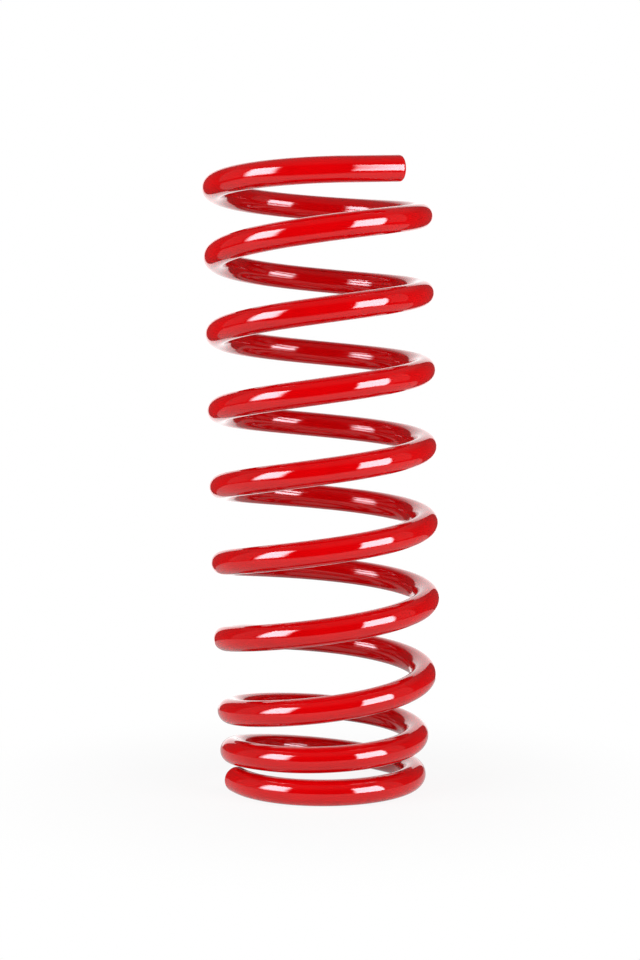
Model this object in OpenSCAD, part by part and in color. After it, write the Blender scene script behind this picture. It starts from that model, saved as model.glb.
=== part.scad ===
// Suspension coil spring, wound right-handed from one round wire and painted.
// The closed seat coil at the bottom is the narrowest and lies flat.
// The full coils above it lean a little, and the top end runs out open and straight.
// +Z is up, and the spring stands on z = 0. Millimetres.

/* [Wire] */
// Diameter of the round wire
wire_d = 13; // [8:0.5:16]
// Radius of the edge at each cut end
cut_round = 2; // [0.5:0.25:3.5]
// Straight length of wire before the cut at the bottom
bottom_straight = 6; // [4:0.5:30]
// Straight length of wire before the cut at the top
top_straight = 27; // [4:0.5:40]

/* [Coils] */
// Mean diameter of the full coils
coil_d = 104.1; // [96:0.1:150]
// Mean diameter of the seat coil at the bottom
seat_d = 93; // [80:0.5:104]
// Distance of the seat coil's centre from the origin, towards +X
seat_offset = 1; // [0:0.1:5]
// Lean of the full coils towards -X, in degrees
lean = 1.18; // [0:0.02:2]
// Height of the spring with no load on it
free_length = 318.5; // [260:0.5:420]
// Turns of wire between the straight ends
turns = 9.23; // [7:0.01:11]

/* [Seat end] */
// Direction of the bottom end from the axis, in degrees from +X
seat_end_angle = 205; // [0:1:359]
// Turns of the seat coil that lie flat
flat_turns = 0.53; // [0.45:0.01:0.58]
// Turn at which the wire has climbed on top of the seat coil
climbed_turn = 1.08; // [0.95:0.01:1.1]
// Height left between the seat coil and the wire that has climbed over it
climb_gap = 0.8; // [0.8:0.1:4]
// Turn at which the pitch starts to grow
opening_turn = 0.5; // [0.4:0.05:0.6]
// Turn at which the pitch is full
opened_turn = 2.42; // [1.8:0.01:3]
// Turn at which the coils start to widen
flaring_turn = 0.77; // [0.5:0.01:2]
// Turn at which the coils are at full diameter
flared_turn = 3.4; // [2.2:0.05:3.5]

/* [Top end] */
// Turns over which the pitch eases off before the top end
ease_turns = 0.78; // [0.5:0.01:1.5]
// Share of the full pitch that is left at the top end
ease_share = 0.2; // [0.1:0.05:1]

/* [Hidden] */

paint = [0.8, 0.02, 0.04];
wire_sides = 48;
bend_sides = 72;

// The wire is a chain of circular bends, two to each span between stations on the centre line
spans_per_turn = 5;
spans = ceil(turns * spans_per_turn);
// Half of the step, in turns, over which the centre line's direction is taken
probe = 0.0005;
// Every second length of wire has a radius smaller by the step and runs into its neighbours by the lap
join_step = 0.05;
join_lap = 0.5;

lift = wire_d + climb_gap;
open_span = opened_turn - opening_turn;
ease_from = turns - ease_turns;
// Turns at full pitch that would give the same height as all the opened coils
pitch_turns = open_span / 2 + ease_from - opened_turn + ease_turns * (1 + ease_share) / 2;
// Share of a full pitch by which the straight top end still climbs
top_climb = ease_share * top_straight / (PI * coil_d);
// Height that the lean gives the top end
top_angle = seat_end_angle + 360 * turns;
top_lean = (coil_d / 2 * cos(top_angle) - top_straight * sin(top_angle)) * sin(lean);
pitch = (free_length - wire_d - lift - top_lean) / (pitch_turns + top_climb);

function unit(v) = v / norm(v);
function clamp01(t) = min(1, max(0, t));

// Goes from 0 to 1 with t, level at both ends
function smooth(t) = let (k = clamp01(t)) k * k * (3 - 2 * k);
// The area under smooth from 0 to t
function smooth_area(t) = let (k = clamp01(t)) k ^ 3 - k ^ 4 / 2 + max(0, t - 1);

// The wire after u turns: share of the flare from the seat coil, radius, mean height and place
function flare(u) = smooth((u - flaring_turn) / (flared_turn - flaring_turn));
function coil_r(u) = (seat_d + (coil_d - seat_d) * flare(u)) / 2;

function pitch_rise(u) =
    open_span * smooth_area((u - opening_turn) / open_span)
    - (1 - ease_share) * ease_turns * smooth_area((u - ease_from) / ease_turns);

function height(u) =
    wire_d / 2
    + lift * smooth((u - flat_turns) / (climbed_turn - flat_turns))
    + pitch * pitch_rise(u);

// The leaning axis passes over the origin half-way up the full coils
lean_height = (height(flared_turn) + free_length) / 2;

function path(u) =
    let (
        a = seat_end_angle + 360 * u,
        x = coil_r(u) * cos(a),
        leaning = flare(u) * sin(lean),
        centre_x = seat_offset * (1 - flare(u)) + (lean_height - height(u)) * leaning
    )
    [centre_x + x, coil_r(u) * sin(a), height(u) + x * leaning];

function heading(u) = unit(path(u + probe) - path(u - probe));
function station(i) = turns * i / spans;

// Two bends that leave p0 along t0 and reach p1 along t1, each as [start, heading, end].
// They meet half-way between the ends of equal tangents drawn from p0 and p1.
function bend_pair(p0, t0, p1, t1) =
    let (
        across = p1 - p0,
        spread = 1 - t0 * t1,
        along = across * (t0 + t1),
        tangent = (sqrt(along * along + 2 * spread * (across * across)) - along) / (2 * spread),
        q0 = p0 + tangent * t0,
        q1 = p1 - tangent * t1,
        middle = (q0 + q1) / 2
    )
    [[p0, t0, middle], [middle, unit(q1 - q0), p1]];

bends = [
    for (i = [0 : spans - 1])
        each bend_pair(
            path(station(i)), heading(station(i)),
            path(station(i + 1)), heading(station(i + 1))
        )
];

function is_thin(k) = k % 2 == 1;
function wire_r(thin) = wire_d / 2 - (thin ? join_step : 0);

// Places a shape with its own axes along x, y and z, which are unit vectors, at a point
module place(x, y, z, at) {
    multmatrix([
        [x[0], y[0], z[0], at[0]],
        [x[1], y[1], z[1], at[1]],
        [x[2], y[2], z[2], at[2]],
        [0, 0, 0, 1]
    ])
        children();
}

// A length of wire bent to a circle, leaving start along the heading and ending at end
module wire_bend(start, heading, end, thin) {
    chord = end - start;
    half_angle = acos(heading * unit(chord));
    bend_r = norm(chord) / (2 * sin(half_angle));
    outward = -unit(chord - (chord * heading) * heading);
    lap_angle = thin ? join_lap / bend_r * 180 / PI : 0;
    place(outward, heading, cross(outward, heading), start - bend_r * outward)
        rotate([0, 0, -lap_angle])
            rotate_extrude(angle = 2 * (half_angle + lap_angle), $fn = bend_sides)
                translate([bend_r, 0])
                    circle(r = wire_r(thin), $fn = wire_sides);
}

// Half of the section through a straight length of wire with a rounded edge at its cut
module cut_section(length, thin) {
    r = wire_r(thin);
    foot = thin ? -join_lap : 0;
    translate([0, foot])
        square([r, length - cut_round - foot]);
    translate([0, foot])
        square([r - cut_round, length - foot]);
    translate([r - cut_round, length - cut_round])
        intersection() {
            circle(r = cut_round, $fn = wire_sides);
            square(cut_round);
        }
}

// The straight end of the wire, from start to its square cut
module wire_end(start, heading, length, thin) {
    sideways = unit(cross([0, 0, 1], heading));
    place(sideways, cross(heading, sideways), heading, start)
        rotate_extrude($fn = wire_sides)
            cut_section(length, thin);
}

module coil_spring() {
    color(paint) {
        wire_end(path(0), -heading(0), bottom_straight, is_thin(0));
        for (i = [0 : len(bends) - 1])
            wire_bend(bends[i][0], bends[i][1], bends[i][2], is_thin(i + 1));
        wire_end(path(turns), heading(turns), top_straight, is_thin(len(bends) + 1));
    }
}

coil_spring();
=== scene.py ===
"""Winds a painted suspension coil spring from one round bar and sets it on a studio stage."""

import math

import bmesh
import bpy
from mathutils import Matrix, Vector


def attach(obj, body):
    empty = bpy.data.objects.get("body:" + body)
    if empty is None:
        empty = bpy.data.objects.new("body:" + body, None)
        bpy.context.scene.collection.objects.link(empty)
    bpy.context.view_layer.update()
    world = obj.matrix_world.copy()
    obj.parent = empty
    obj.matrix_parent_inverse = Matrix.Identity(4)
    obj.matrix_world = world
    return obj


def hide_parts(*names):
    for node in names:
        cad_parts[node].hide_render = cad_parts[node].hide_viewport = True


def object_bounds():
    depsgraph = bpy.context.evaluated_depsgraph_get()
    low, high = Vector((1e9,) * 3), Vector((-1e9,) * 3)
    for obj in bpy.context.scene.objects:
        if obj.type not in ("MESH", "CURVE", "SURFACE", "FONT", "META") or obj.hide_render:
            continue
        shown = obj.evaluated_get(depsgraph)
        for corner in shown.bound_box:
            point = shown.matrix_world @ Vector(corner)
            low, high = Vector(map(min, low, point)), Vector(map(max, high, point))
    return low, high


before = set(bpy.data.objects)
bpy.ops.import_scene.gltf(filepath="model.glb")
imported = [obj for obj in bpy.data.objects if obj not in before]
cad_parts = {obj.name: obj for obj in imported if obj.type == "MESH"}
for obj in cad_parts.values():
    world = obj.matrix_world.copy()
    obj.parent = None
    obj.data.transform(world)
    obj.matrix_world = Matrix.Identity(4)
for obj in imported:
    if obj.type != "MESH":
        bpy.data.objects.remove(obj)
cad_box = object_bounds()

bl_info = {
    "name": "Coil Spring Workshop",
    "version": (1, 0, 0),
    "blender": (4, 5, 0),
    "location": "View3D > Sidebar > Coil Spring",
    "description": "Winds a painted suspension coil spring and sets it on a studio stage",
    "category": "Object",
}

# Points of the winding path in each turn, and their distance on the straight ends
POINTS_PER_TURN = 220
STRAIGHT_STEP = 0.001
# Heights along the bar that differ by less are the same ring
SAME_RING = 0.00001
CUT_SEGMENTS = 6
SMOOTH_ANGLE = math.radians(40)

PAINT_IOR = 1.5
# Patches in each metre of the paint's film and of its haze
FILM_SCALE = 45.0
HAZE_SCALE = 140.0

# Distance of the softboxes from the axis of the coils, and the share of their height that fades at each end
SOFTBOX_REACH = 1.0
SOFTBOX_END_MARGIN = 0.2
SOFTBOX_TINT = (0.97, 0.96, 1.06, 1)
FLOOR_MIDDLE = (-0.1, -0.08)
FLOOR_SIZE = (1.6, 0.76)
# The white backdrop's distance, and its rows from below up as height, left edge and right edge
BACKDROP_Y = 2.5
BACKDROP_ROWS = ((-1.6, -0.9, 1.25), (0.0, -1.1, 0.85), (3.4, -1.25, 0.85))
# Distance of the grey walls to each side, and their height
WALL_X = 2.0
WALL_TOP = 2.0
IMAGE_HEIGHT = 960
SENSOR_HEIGHT = 24.0


class SpringSizes(bpy.types.PropertyGroup):
    """Sizes of the wire and of the coils that it is wound into"""

    wire_d: bpy.props.FloatProperty(
        name="Wire diameter",
        description="Diameter of the round wire",
        default=0.013, min=0.008, max=0.016, precision=4, unit="LENGTH",
    )
    cut_round: bpy.props.FloatProperty(
        name="Cut edge radius",
        description="Radius of the edge at each cut end",
        default=0.002, min=0.0005, max=0.0025, precision=4, unit="LENGTH",
    )
    bottom_straight: bpy.props.FloatProperty(
        name="Bottom straight",
        description="Straight length of wire before the cut at the bottom",
        default=0.006, min=0.004, max=0.030, precision=4, unit="LENGTH",
    )
    top_straight: bpy.props.FloatProperty(
        name="Top straight",
        description="Straight length of wire before the cut at the top",
        default=0.027, min=0.004, max=0.040, precision=4, unit="LENGTH",
    )
    coil_d: bpy.props.FloatProperty(
        name="Coil diameter",
        description="Mean diameter of the full coils",
        default=0.1041, min=0.096, max=0.150, precision=4, unit="LENGTH",
    )
    seat_d: bpy.props.FloatProperty(
        name="Seat coil diameter",
        description="Mean diameter of the seat coil at the bottom",
        default=0.093, min=0.080, max=0.104, precision=4, unit="LENGTH",
    )
    seat_offset: bpy.props.FloatProperty(
        name="Seat coil offset",
        description="Distance of the seat coil's centre from the origin, towards +X",
        default=0.001, min=0.0, max=0.005, precision=4, unit="LENGTH",
    )
    lean: bpy.props.FloatProperty(
        name="Lean",
        description="Lean of the full coils towards -X",
        default=math.radians(1.18), min=0.0, max=math.radians(2), precision=4, subtype="ANGLE",
    )
    free_length: bpy.props.FloatProperty(
        name="Free length",
        description="Height of the spring with no load on it",
        default=0.3185, min=0.260, max=0.420, precision=4, unit="LENGTH",
    )
    turns: bpy.props.FloatProperty(
        name="Turns",
        description="Turns of wire between the straight ends",
        default=9.23, min=7.0, max=11.0,
    )
    seat_end_angle: bpy.props.FloatProperty(
        name="Bottom end",
        description="Direction of the bottom end from the axis, from +X",
        default=math.radians(205), subtype="ANGLE",
    )
    flat_turns: bpy.props.FloatProperty(
        name="Flat turns",
        description="Turns of the seat coil that lie flat",
        default=0.53, min=0.45, max=0.58,
    )
    climbed_turn: bpy.props.FloatProperty(
        name="Climbed at",
        description="Turn at which the wire has climbed on top of the seat coil",
        default=1.08, min=0.95, max=1.1,
    )
    climb_gap: bpy.props.FloatProperty(
        name="Climb gap",
        description="Height left between the seat coil and the wire that has climbed over it",
        default=0.0008, min=0.0008, max=0.004, precision=4, unit="LENGTH",
    )
    opening_turn: bpy.props.FloatProperty(
        name="Opening from",
        description="Turn at which the pitch starts to grow",
        default=0.5, min=0.4, max=0.6,
    )
    opened_turn: bpy.props.FloatProperty(
        name="Open at",
        description="Turn at which the pitch is full",
        default=2.42, min=1.8, max=3.0,
    )
    flaring_turn: bpy.props.FloatProperty(
        name="Flaring from",
        description="Turn at which the coils start to widen",
        default=0.77, min=0.5, max=2.0,
    )
    flared_turn: bpy.props.FloatProperty(
        name="Flared at",
        description="Turn at which the coils are at full diameter",
        default=3.4, min=2.2, max=3.5,
    )
    ease_turns: bpy.props.FloatProperty(
        name="Easing turns",
        description="Turns over which the pitch eases off before the top end",
        default=0.78, min=0.5, max=1.5,
    )
    ease_share: bpy.props.FloatProperty(
        name="Pitch left",
        description="Share of the full pitch that is left at the top end",
        default=0.2, min=0.1, max=1.0, subtype="FACTOR",
    )
    wire_sides: bpy.props.IntProperty(
        name="Sides",
        description="Faces around the wire",
        default=48, min=24, max=64,
    )
    ring_cuts: bpy.props.IntProperty(
        name="Ring cuts",
        description="Cuts made along the bar, twice over",
        default=32, min=20, max=36,
    )


class PaintFinish(bpy.types.PropertyGroup):
    """Colours and gloss of the sprayed paint"""

    red: bpy.props.FloatVectorProperty(
        name="Red",
        description="Colour of the gloss paint",
        default=(0.57, 0.0002, 0.0014), size=3, min=0.0, max=1.0, subtype="COLOR",
    )
    deep_red: bpy.props.FloatVectorProperty(
        name="Deep red",
        description="Colour of the paint where it lies thicker",
        default=(0.52, 0.0002, 0.0011), size=3, min=0.0, max=1.0, subtype="COLOR",
    )
    # Painted shade: a darker red for the inside of the coils, where the coils shade one another
    inside_shade_red: bpy.props.FloatVectorProperty(
        name="Inside red",
        description="Colour of the paint on the inside of the coils, where the spray lands thinner",
        default=(0.47, 0.0002, 0.0012), size=3, min=0.0, max=1.0, subtype="COLOR",
    )
    smoothest: bpy.props.FloatProperty(
        name="Smoothest",
        description="Roughness of the paint where it shines most",
        default=0.04, min=0.0, max=1.0, subtype="FACTOR",
    )
    roughest: bpy.props.FloatProperty(
        name="Roughest",
        description="Roughness of the paint where it shines least",
        default=0.075, min=0.0, max=1.0, subtype="FACTOR",
    )
    inside_dulling: bpy.props.FloatProperty(
        name="Inside dulling",
        description="Roughness that is added on the inside of the coils",
        default=0.05, min=0.0, max=1.0, subtype="FACTOR",
    )
    peel_size: bpy.props.FloatProperty(
        name="Orange peel size",
        description="Distance between the ripples of the sprayed paint",
        default=0.0022, min=0.0005, max=0.01, precision=4, unit="LENGTH",
    )
    peel_depth: bpy.props.FloatProperty(
        name="Orange peel depth",
        description="Height of the ripples of the sprayed paint",
        default=0.0000012, min=0.0, max=0.0001, precision=6, unit="LENGTH",
    )


class StudioStage(bpy.types.PropertyGroup):
    """Camera and lights of the stage"""

    camera_place: bpy.props.FloatVectorProperty(
        name="Camera",
        description="Place of the camera",
        default=(-0.00057, -0.9582, 0.2147), size=3, subtype="TRANSLATION", unit="LENGTH",
    )
    camera_down: bpy.props.FloatProperty(
        name="Look down",
        description="Angle by which the camera looks down",
        default=math.radians(3.386), subtype="ANGLE",
    )
    focal_pixels: bpy.props.FloatProperty(
        name="Focal length",
        description="Focal length of the camera, in pixels of the picture",
        default=1874.3, min=500.0, max=5000.0,
    )
    fill: bpy.props.FloatProperty(
        name="Fill light",
        description="Level of the light that comes from all around",
        default=0.03, min=0.0, max=1.0,
    )
    softbox_watts: bpy.props.FloatProperty(
        name="Softbox power",
        description="Power of each softbox",
        default=13.5, min=0.0, max=500.0, subtype="POWER",
    )
    softbox_glare: bpy.props.FloatProperty(
        name="Softbox glare",
        description="Brightness of each softbox as the gloss shows it",
        default=19.0, min=0.0, max=100.0,
    )


def smooth(t):
    """Goes from 0 to 1 with t, level at both ends."""
    k = min(1.0, max(0.0, t))
    return k * k * (3 - 2 * k)


def smooth_area(t):
    """Area under smooth from 0 to t."""
    k = min(1.0, max(0.0, t))
    return k ** 3 - k ** 4 / 2 + max(0.0, t - 1)


def wire_pitch(s):
    """Full pitch that brings the top end to the free length."""
    ease_from = s.turns - s.ease_turns
    open_span = s.opened_turn - s.opening_turn
    pitch_turns = open_span / 2 + ease_from - s.opened_turn + s.ease_turns * (1 + s.ease_share) / 2
    top_climb = s.ease_share * s.top_straight / (math.pi * s.coil_d)
    top_angle = s.seat_end_angle + math.tau * s.turns
    top_lean = (s.coil_d / 2 * math.cos(top_angle) - s.top_straight * math.sin(top_angle)) * math.sin(s.lean)
    return (s.free_length - 2 * s.wire_d - s.climb_gap - top_lean) / (pitch_turns + top_climb)


def wire_height(s, u):
    """Mean height of the wire after u turns from the bottom end."""
    open_span = s.opened_turn - s.opening_turn
    opened = open_span * smooth_area((u - s.opening_turn) / open_span)
    ease_from = s.turns - s.ease_turns
    eased = (1 - s.ease_share) * s.ease_turns * smooth_area((u - ease_from) / s.ease_turns)
    climb = smooth((u - s.flat_turns) / (s.climbed_turn - s.flat_turns))
    return s.wire_d / 2 + (s.wire_d + s.climb_gap) * climb + wire_pitch(s) * (opened - eased)


def wire_point(s, u):
    """Place of the wire after u turns from the bottom end."""
    flare = smooth((u - s.flaring_turn) / (s.flared_turn - s.flaring_turn))
    radius = (s.seat_d + (s.coil_d - s.seat_d) * flare) / 2
    angle = s.seat_end_angle + math.tau * u
    x = radius * math.cos(angle)
    height = wire_height(s, u)
    lean_height = (wire_height(s, s.flared_turn) + s.free_length) / 2
    leaning = flare * math.sin(s.lean)
    centre_x = s.seat_offset * (1 - flare) + (lean_height - height) * leaning
    return Vector((centre_x + x, radius * math.sin(angle), height + x * leaning))


def straight_run(start, heading, length):
    """Points along a straight length of wire, without its start."""
    count = math.ceil(length / STRAIGHT_STEP)
    return [start + heading * (length * i / count) for i in range(1, count + 1)]


def centre_line(s):
    """Points along the wire, with the straight lengths at both ends."""
    count = math.ceil(s.turns * POINTS_PER_TURN)
    line = [wire_point(s, s.turns * i / count) for i in range(count + 1)]
    first = (line[0] - line[1]).normalized()
    last = (line[-1] - line[-2]).normalized()
    bottom = straight_run(line[0], first, s.bottom_straight)
    return [*reversed(bottom), *line, *straight_run(line[-1], last, s.top_straight)]


def winding_path(line):
    """Curve that the bar is wound along."""
    path = bpy.data.curves.new("winding_path", "CURVE")
    path.dimensions = "3D"
    path.twist_mode = "Z_UP"
    spline = path.splines.new("POLY")
    spline.points.add(len(line) - 1)
    for point, place in zip(spline.points, line):
        point.co = (*place, 1)
    guide = bpy.data.objects.new("winding_path", path)
    bpy.context.collection.objects.link(guide)
    return guide


def pick(mesh, edges=None, faces=None):
    """Selects, in edit mode, only the edges or faces that pass the test."""
    bm = bmesh.from_edit_mesh(mesh)
    bpy.ops.mesh.select_all(action="DESELECT")
    bpy.ops.mesh.select_mode(type="EDGE" if edges else "FACE")
    for part in bm.edges if edges else bm.faces:
        part.select_set((edges or faces)(part))
    bmesh.update_edit_mesh(mesh)


def straight_bar(s, length):
    """Round bar along Z, cut into rings, with both cut edges rounded off."""
    bpy.ops.object.select_all(action="DESELECT")
    bpy.ops.mesh.primitive_cylinder_add(
        vertices=s.wire_sides, radius=s.wire_d / 2, depth=length,
        end_fill_type="NGON", location=(0, 0, length / 2),
    )
    bar = bpy.context.active_object
    bar.name = bar.data.name = "coil_spring_wire"
    bpy.ops.object.transform_apply(location=True, rotation=True, scale=True)

    def runs_along(edge):
        return abs(edge.verts[0].co.z - edge.verts[1].co.z) > SAME_RING

    def on_cut(edge):
        heights = [v.co.z for v in edge.verts]
        return max(heights) < SAME_RING or min(heights) > length - SAME_RING

    def is_cut(face):
        return abs(face.normal.z) > 0.999

    bpy.ops.object.mode_set(mode="EDIT")
    for _ in range(2):
        pick(bar.data, edges=runs_along)
        bpy.ops.mesh.subdivide(number_cuts=s.ring_cuts)
    pick(bar.data, edges=on_cut)
    bpy.ops.mesh.bevel(offset=s.cut_round, segments=CUT_SEGMENTS, profile=0.5, affect="EDGES")
    pick(bar.data, faces=is_cut)
    bpy.ops.mesh.inset(thickness=s.cut_round / 4)
    bpy.ops.object.mode_set(mode="OBJECT")
    return bar


def wind(bar, guide):
    """Bends the bar along the guide, which is then taken away."""
    winding = bar.modifiers.new("winding", "CURVE")
    winding.object = guide
    winding.deform_axis = "POS_Z"
    bpy.ops.object.modifier_apply(modifier=winding.name)
    bpy.ops.object.mode_set(mode="EDIT")
    bpy.ops.mesh.select_all(action="SELECT")
    bpy.ops.mesh.normals_make_consistent(inside=False)
    bpy.ops.object.mode_set(mode="OBJECT")
    bpy.ops.object.shade_smooth_by_angle(angle=SMOOTH_ANGLE)
    bpy.data.curves.remove(guide.data)


def mark_inside(bar):
    """Stores on each point how squarely it faces the inside of the coils."""
    inside = bar.data.attributes.new("inside", "FLOAT", "POINT")
    for point, mark in zip(bar.data.vertices, inside.data):
        outward = Vector((point.co.x, point.co.y, 0)).normalized()
        mark.value = max(0.0, -point.normal.dot(outward))


def feed(tree, value, socket):
    """Links another node's output to a socket, or sets the socket to a plain value."""
    if isinstance(value, bpy.types.NodeSocket):
        tree.links.new(value, socket)
    else:
        socket.default_value = value


def node(tree, kind, place, *values, settings=None, **inputs):
    """New shader node, with outputs or plain values on its sockets, in order or by name."""
    made = tree.nodes.new("ShaderNode" + kind)
    made.location = place
    for name, setting in (settings or {}).items():
        setattr(made, name, setting)
    for socket, value in zip(made.inputs, values):
        feed(tree, value, socket)
    for name, value in inputs.items():
        feed(tree, value, made.inputs[name.replace("_", " ")])
    return made


def ramp(tree, place, source, start, end, first=0.0, last=1.0, eased=False):
    """Value that goes from first to last while the source goes from start to end."""
    made = node(
        tree, "MapRange", place, settings={"interpolation_type": "SMOOTHSTEP" if eased else "LINEAR"},
        Value=source, From_Min=start, From_Max=end, To_Min=first, To_Max=last,
    )
    return made.outputs["Result"]


def maths(tree, place, operation, *values):
    """Result of a sum on outputs and plain numbers."""
    return node(tree, "Math", place, *values, settings={"operation": operation}).outputs["Value"]


def mixed_colour(tree, place, share, first, second):
    """Colour that goes from the first to the second with the share."""
    made = node(tree, "Mix", place, settings={"data_type": "RGBA"}, Factor=share, A=first, B=second)
    return made.outputs["Result"]


def gloss_paint(finish):
    """Sprayed gloss red with fine orange peel, duller inside the coils, with painted shade that makes it a
    little deeper there.
    """
    paint = bpy.data.materials.new("red_gloss_paint")
    paint.use_nodes = True
    tree = paint.node_tree
    shader = tree.nodes["Principled BSDF"]
    shader.inputs["IOR"].default_value = PAINT_IOR
    place = node(tree, "TexCoord", (-1100, 0)).outputs["Object"]

    film = node(tree, "TexNoise", (-880, 300), Vector=place, Scale=FILM_SCALE, Detail=3.0, Roughness=0.55)
    thick = ramp(tree, (-680, 300), film.outputs["Fac"], start=0.4, end=0.75)
    colour = mixed_colour(tree, (-460, 300), thick, (*finish.red, 1), (*finish.deep_red, 1))
    facing = node(tree, "Attribute", (-880, 600), settings={"attribute_name": "inside"})
    inside = ramp(tree, (-680, 600), facing.outputs["Fac"], start=0.0, end=0.6, eased=True)
    # Painted shade: the colour darkens on the inside of the coils, where the other coils shade it
    colour_with_painted_shade = mixed_colour(tree, (-240, 300), inside, colour, (*finish.inside_shade_red, 1))
    feed(tree, colour_with_painted_shade, shader.inputs["Base Color"])

    haze = node(tree, "TexNoise", (-880, 0), Vector=place, Scale=HAZE_SCALE, Detail=2.0, Roughness=0.5)
    gloss = ramp(
        tree, (-460, 0), haze.outputs["Fac"],
        start=0.3, end=0.7, first=finish.smoothest, last=finish.roughest,
    )
    dulled = maths(tree, (-240, 0), "MULTIPLY_ADD", inside, finish.inside_dulling, gloss)
    feed(tree, dulled, shader.inputs["Roughness"])

    peel = node(
        tree, "TexNoise", (-880, -300),
        Vector=place, Scale=1 / finish.peel_size, Detail=1.5, Roughness=0.4,
    )
    ripple = node(
        tree, "Bump", (-460, -300), Strength=1.0, Distance=finish.peel_depth, Height=peel.outputs["Fac"]
    )
    feed(tree, ripple.outputs["Normal"], shader.inputs["Normal"])
    return paint


class SPRING_OT_wind_wire(bpy.types.Operator):
    """Wind the round bar into the coil spring and spray it red"""

    bl_idname = "spring.wind_wire"
    bl_label = "Wind the Wire"

    def execute(self, context):
        sizes = context.scene.spring_sizes
        line = centre_line(sizes)
        length = sum((b - a).length for a, b in zip(line, line[1:]))
        guide = winding_path(line)
        bar = straight_bar(sizes, length)
        wind(bar, guide)
        mark_inside(bar)
        bar.data.materials.append(gloss_paint(context.scene.spring_paint))
        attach(bar, "root")
        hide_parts("coil_spring")
        return {"FINISHED"}


def glow(name, level):
    """Evenly glowing material."""
    material = bpy.data.materials.new(name)
    material.use_nodes = True
    tree = material.node_tree
    tree.nodes.remove(tree.nodes["Principled BSDF"])
    light = node(tree, "Emission", (0, 0), Strength=level)
    feed(tree, light.outputs["Emission"], tree.nodes["Material Output"].inputs["Surface"])
    return material


def backdrop_white(level, top_level):
    """White that dims towards the top of the backdrop."""
    material = glow("backdrop_white", level)
    tree = material.node_tree
    place = node(tree, "TexCoord", (-800, 0)).outputs["Object"]
    height = node(tree, "SeparateXYZ", (-600, 0), place).outputs["Z"]
    dimmed = ramp(tree, (-300, 0), height, start=1.6, end=BACKDROP_ROWS[-1][0], first=level, last=top_level)
    feed(tree, dimmed, tree.nodes["Emission"].inputs["Strength"])
    return material


def soft_margin_group():
    """Node group with a level that is full in the middle of a panel and fades over its margins."""
    group = bpy.data.node_groups.new("soft_margin", "ShaderNodeTree")
    for name in ("Level", "Side Margin", "End Margin"):
        group.interface.new_socket(name, in_out="INPUT", socket_type="NodeSocketFloat")
    group.interface.new_socket("Level", in_out="OUTPUT", socket_type="NodeSocketFloat")
    given = group.nodes.new("NodeGroupInput")
    given.location = (-1100, 300)
    place = node(group, "TexCoord", (-1100, -100)).outputs["UV"]
    axes = node(group, "SeparateXYZ", (-900, -100), place).outputs
    level = given.outputs["Level"]
    for row, axis, margin in ((0, "X", "Side Margin"), (-300, "Y", "End Margin")):
        off = maths(group, (-700, row), "SUBTRACT", axes[axis], 0.5)
        distance = maths(group, (-500, row), "ABSOLUTE", off)
        start = maths(group, (-500, row + 150), "SUBTRACT", 0.5, given.outputs[margin])
        share = ramp(group, (-300, row), distance, start, end=0.5, first=1.0, last=0.0, eased=True)
        level = maths(group, (-80, row), "MULTIPLY", share, level)
    result = group.nodes.new("NodeGroupOutput")
    result.location = (140, -300)
    feed(group, level, result.inputs["Level"])
    return group


def softbox_glow(name, level, margin, fading):
    """Glow that fades over the margins, a share of the width at each side."""
    material = glow(name, level)
    tree = material.node_tree
    soft = node(
        tree, "Group", (-300, 0), settings={"node_tree": fading},
        Level=level, Side_Margin=margin, End_Margin=SOFTBOX_END_MARGIN,
    )
    light = tree.nodes["Emission"]
    feed(tree, SOFTBOX_TINT, light.inputs["Color"])
    feed(tree, soft.outputs["Level"], light.inputs["Strength"])
    return material


def panel(name, corners, material):
    """Flat panel that only the gloss shows, from its corners in order."""
    mesh = bpy.data.meshes.new(name)
    mesh.from_pydata(corners, [], [range(len(corners))])
    made = bpy.data.objects.new(name, mesh)
    bpy.context.collection.objects.link(made)
    mesh.materials.append(material)
    made.visible_camera = False
    made.visible_diffuse = False
    made.visible_shadow = False
    return made


def backdrop_corners(lower, upper):
    """Corners of the backdrop between two of its rows."""
    low, low_left, low_right = lower
    high, high_left, high_right = upper
    return [
        (low_left, BACKDROP_Y, low), (low_right, BACKDROP_Y, low),
        (high_right, BACKDROP_Y, high), (high_left, BACKDROP_Y, high),
    ]


def wall_corners(x, front, back):
    """Corners of a wall to one side, from its front to its back."""
    return [(x, front, 0), (x, back, 0), (x, back, WALL_TOP), (x, front, WALL_TOP)]


def surroundings():
    """White backdrop and grey walls that the gloss shows."""
    foot, ground, top = BACKDROP_ROWS
    backdrop = panel("backdrop", backdrop_corners(ground, top), backdrop_white(level=1.5, top_level=0.4))
    # The backdrop also lights the far side of the coils
    backdrop.visible_diffuse = True
    panel("sweep", backdrop_corners(foot, ground), glow("sweep_white", 1.6))
    panel("left_wall", wall_corners(-WALL_X, front=-0.4, back=0.75), glow("left_wall_grey", 0.3))
    panel("right_wall", wall_corners(WALL_X, front=-0.6, back=0.25), glow("right_wall_grey", 0.35))


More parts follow.
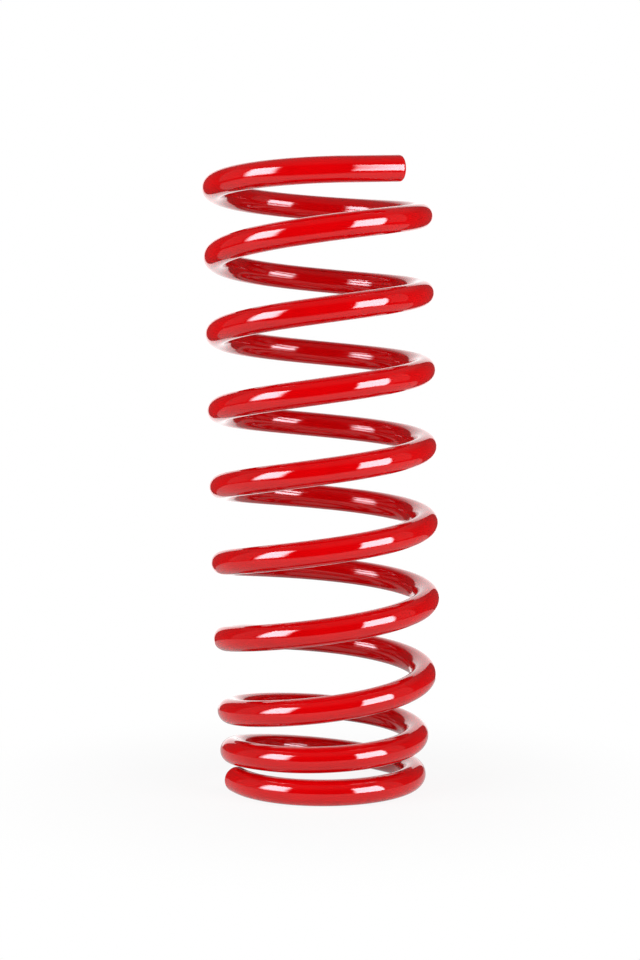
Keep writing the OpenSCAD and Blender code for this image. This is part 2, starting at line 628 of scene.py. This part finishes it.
def softbox(name, stage, fading, angle, width, bottom, top, margin):
    """Lamp for the paint's colour and a panel of the same size for its gloss."""
    target = Vector((0, 0, (bottom + top) / 2))
    place = target + SOFTBOX_REACH * Vector((math.sin(angle), -math.cos(angle), 0))
    turn = (target - place).to_track_quat("-Z", "Y")
    data = bpy.data.lights.new(name, "AREA")
    data.shape = "RECTANGLE"
    data.size = width
    data.size_y = top - bottom
    data.energy = stage.softbox_watts
    lamp = bpy.data.objects.new(name, data)
    lamp.location = place
    lamp.rotation_euler = turn.to_euler()
    lamp.visible_glossy = False
    lamp.visible_camera = False
    bpy.context.collection.objects.link(lamp)
    aside = turn @ Vector((width / 2, 0, 0))
    up = Vector((0, 0, (top - bottom) / 2))
    corners = [place - aside - up, place + aside - up, place + aside + up, place - aside + up]
    glare = softbox_glow(name + "_glow", stage.softbox_glare, margin, fading)
    front = panel(name + "_front", corners, glare)
    front.data.uv_layers.new(name="front")


def pale_floor():
    """White with a faint shadow at the foot, fading into the air, and for the gloss a painted glow, a soft
    white that is brighter towards the front.
    """
    material = bpy.data.materials.new("pale_floor")
    material.use_nodes = True
    tree = material.node_tree
    shader = tree.nodes["Principled BSDF"]
    shader.inputs["Base Color"].default_value = (0.8, 0.8, 0.8, 1)
    shader.inputs["Roughness"].default_value = 0.9
    shader.inputs["Specular IOR Level"].default_value = 0.0
    rays = node(tree, "LightPath", (-460, -60)).outputs
    place = node(tree, "TexCoord", (-900, 0)).outputs["Object"]
    away = node(tree, "VectorMath", (-680, 300), place, settings={"operation": "LENGTH"}).outputs["Value"]
    y = node(tree, "SeparateXYZ", (-680, -500), place).outputs["Y"]

    clear = ramp(tree, (-460, 300), away, start=0.05, end=0.22, first=0.9, last=1.0, eased=True)
    gone = ramp(tree, (-460, 600), away, start=0.2, end=0.3, eased=True)
    # Painted reflection: for the gloss the floor glows instead of being lit, brighter at the front and
    # fading out at its front edge
    painted_floor_glow = ramp(tree, (-460, -500), y, start=-0.4, end=0.3, first=0.9, last=0.5)
    front_edge = ramp(tree, (-460, -800), y, start=-0.46, end=-0.26, eased=True)
    white = node(tree, "Emission", (0, -400), Strength=1.0)
    mirrored = node(
        tree, "Emission", (220, -400), Strength=maths(tree, (-220, -500), "MULTIPLY", painted_floor_glow, front_edge)
    )
    air = node(tree, "BsdfTransparent", (440, -400))
    layers = (
        (maths(tree, (-220, 300), "MULTIPLY", rays["Is Camera Ray"], clear), white.outputs["Emission"]),
        (rays["Is Glossy Ray"], mirrored.outputs["Emission"]),
        (maths(tree, (-220, 600), "MULTIPLY", rays["Is Camera Ray"], gone), air.outputs["BSDF"]),
    )
    surface = shader.outputs["BSDF"]
    for column, (share, layer) in enumerate(layers):
        surface = node(tree, "MixShader", (340 + 220 * column, 100), share, surface, layer).outputs["Shader"]
    output = tree.nodes["Material Output"]
    output.location = (1000, 100)
    feed(tree, surface, output.inputs["Surface"])
    return material


def studio_floor():
    """Floor that the spring stands on."""
    bpy.ops.object.select_all(action="DESELECT")
    bpy.ops.mesh.primitive_plane_add(size=1)
    floor = bpy.context.active_object
    floor.name = floor.data.name = "floor"
    middle = Matrix.Translation((*FLOOR_MIDDLE, cad_box[0].z))
    floor.data.transform(middle @ Matrix.Diagonal((*FLOOR_SIZE, 1, 1)))
    floor.data.materials.append(pale_floor())


def studio_air(fill):
    """World: white from the front and light grey from other sides, dim in the gloss, and an even fill."""
    world = bpy.data.worlds.new("studio_air")
    world.use_nodes = True
    tree = world.node_tree
    rays = node(tree, "LightPath", (-700, 300)).outputs
    heading = node(tree, "TexCoord", (-1100, -200)).outputs["Generated"]
    axes = node(tree, "SeparateXYZ", (-900, -200), heading).outputs
    overhead = ramp(tree, (-700, -100), axes["Z"], start=0.5, end=0.8, first=0.0, last=0.16)
    ahead = ramp(tree, (-700, -400), axes["Y"], start=-0.4, end=0.1, first=0.01, last=0.08)
    seen = ramp(tree, (-700, -700), axes["Y"], start=0.3, end=0.85, first=0.6, last=1.0, eased=True)
    mirrored = maths(tree, (-460, -200), "ADD", overhead, ahead)
    unseen = node(tree, "Mix", (-240, 0), Factor=rays["Is Glossy Ray"], A=fill, B=mirrored)
    level = node(tree, "Mix", (-20, 0), Factor=rays["Is Camera Ray"], A=unseen.outputs["Result"], B=seen)
    background = tree.nodes["Background"]
    background.location = (200, 0)
    background.inputs["Color"].default_value = (1, 1, 1, 1)
    feed(tree, level.outputs["Result"], background.inputs["Strength"])
    tree.nodes["World Output"].location = (420, 0)
    bpy.context.scene.world = world


def front_camera(stage):
    """Camera in front of the spring, looking down a little."""
    data = bpy.data.cameras.new("photo_camera")
    data.sensor_fit = "VERTICAL"
    data.sensor_height = SENSOR_HEIGHT
    data.lens = stage.focal_pixels / IMAGE_HEIGHT * SENSOR_HEIGHT
    camera = bpy.data.objects.new("photo_camera", data)
    turn = Matrix.Rotation(math.pi / 2 - stage.camera_down, 4, "X")
    camera.matrix_world = Matrix.Translation(stage.camera_place) @ turn
    bpy.context.collection.objects.link(camera)
    bpy.context.scene.camera = camera


class SPRING_OT_set_stage(bpy.types.Operator):
    """Set up the floor, the backdrop, the softboxes and the camera"""

    bl_idname = "spring.set_stage"
    bl_label = "Set the Stage"

    def execute(self, context):
        stage = context.scene.spring_stage
        studio_floor()
        surroundings()
        fading = soft_margin_group()
        softbox(
            "softbox_left", stage, fading,
            angle=math.radians(-56.2), width=0.72, bottom=0.03, top=1.07, margin=0.25,
        )
        softbox(
            "softbox_right", stage, fading,
            angle=math.radians(51.8), width=0.695, bottom=-0.13, top=0.86, margin=0.12,
        )
        studio_air(stage.fill)
        front_camera(stage)
        context.scene.view_settings.view_transform = "Standard"
        return {"FINISHED"}


class SPRING_PT_workshop(bpy.types.Panel):
    """Sizes, finish and stage of the coil spring"""

    bl_idname = "SPRING_PT_workshop"
    bl_label = "Coil Spring"
    bl_space_type = "VIEW_3D"
    bl_region_type = "UI"
    bl_category = "Coil Spring"

    def draw(self, context):
        groups = (
            (context.scene.spring_sizes, ("spring.wind_wire",)),
            (context.scene.spring_paint, ()),
            (context.scene.spring_stage, ("spring.set_stage",)),
        )
        for group, operators in groups:
            box = self.layout.box()
            for name in group.__annotations__:
                box.prop(group, name)
            for operator in operators:
                box.operator(operator)


CLASSES = (
    SpringSizes, PaintFinish, StudioStage, SPRING_OT_wind_wire, SPRING_OT_set_stage, SPRING_PT_workshop,
)


def register():
    for cls in CLASSES:
        bpy.utils.register_class(cls)
    bpy.types.Scene.spring_sizes = bpy.props.PointerProperty(type=SpringSizes)
    bpy.types.Scene.spring_paint = bpy.props.PointerProperty(type=PaintFinish)
    bpy.types.Scene.spring_stage = bpy.props.PointerProperty(type=StudioStage)


def unregister():
    del bpy.types.Scene.spring_stage
    del bpy.types.Scene.spring_paint
    del bpy.types.Scene.spring_sizes
    for cls in reversed(CLASSES):
        bpy.utils.unregister_class(cls)


def main():
    register()
    bpy.ops.spring.wind_wire()
    bpy.ops.spring.set_stage()


if __name__ == "__main__":
    main()
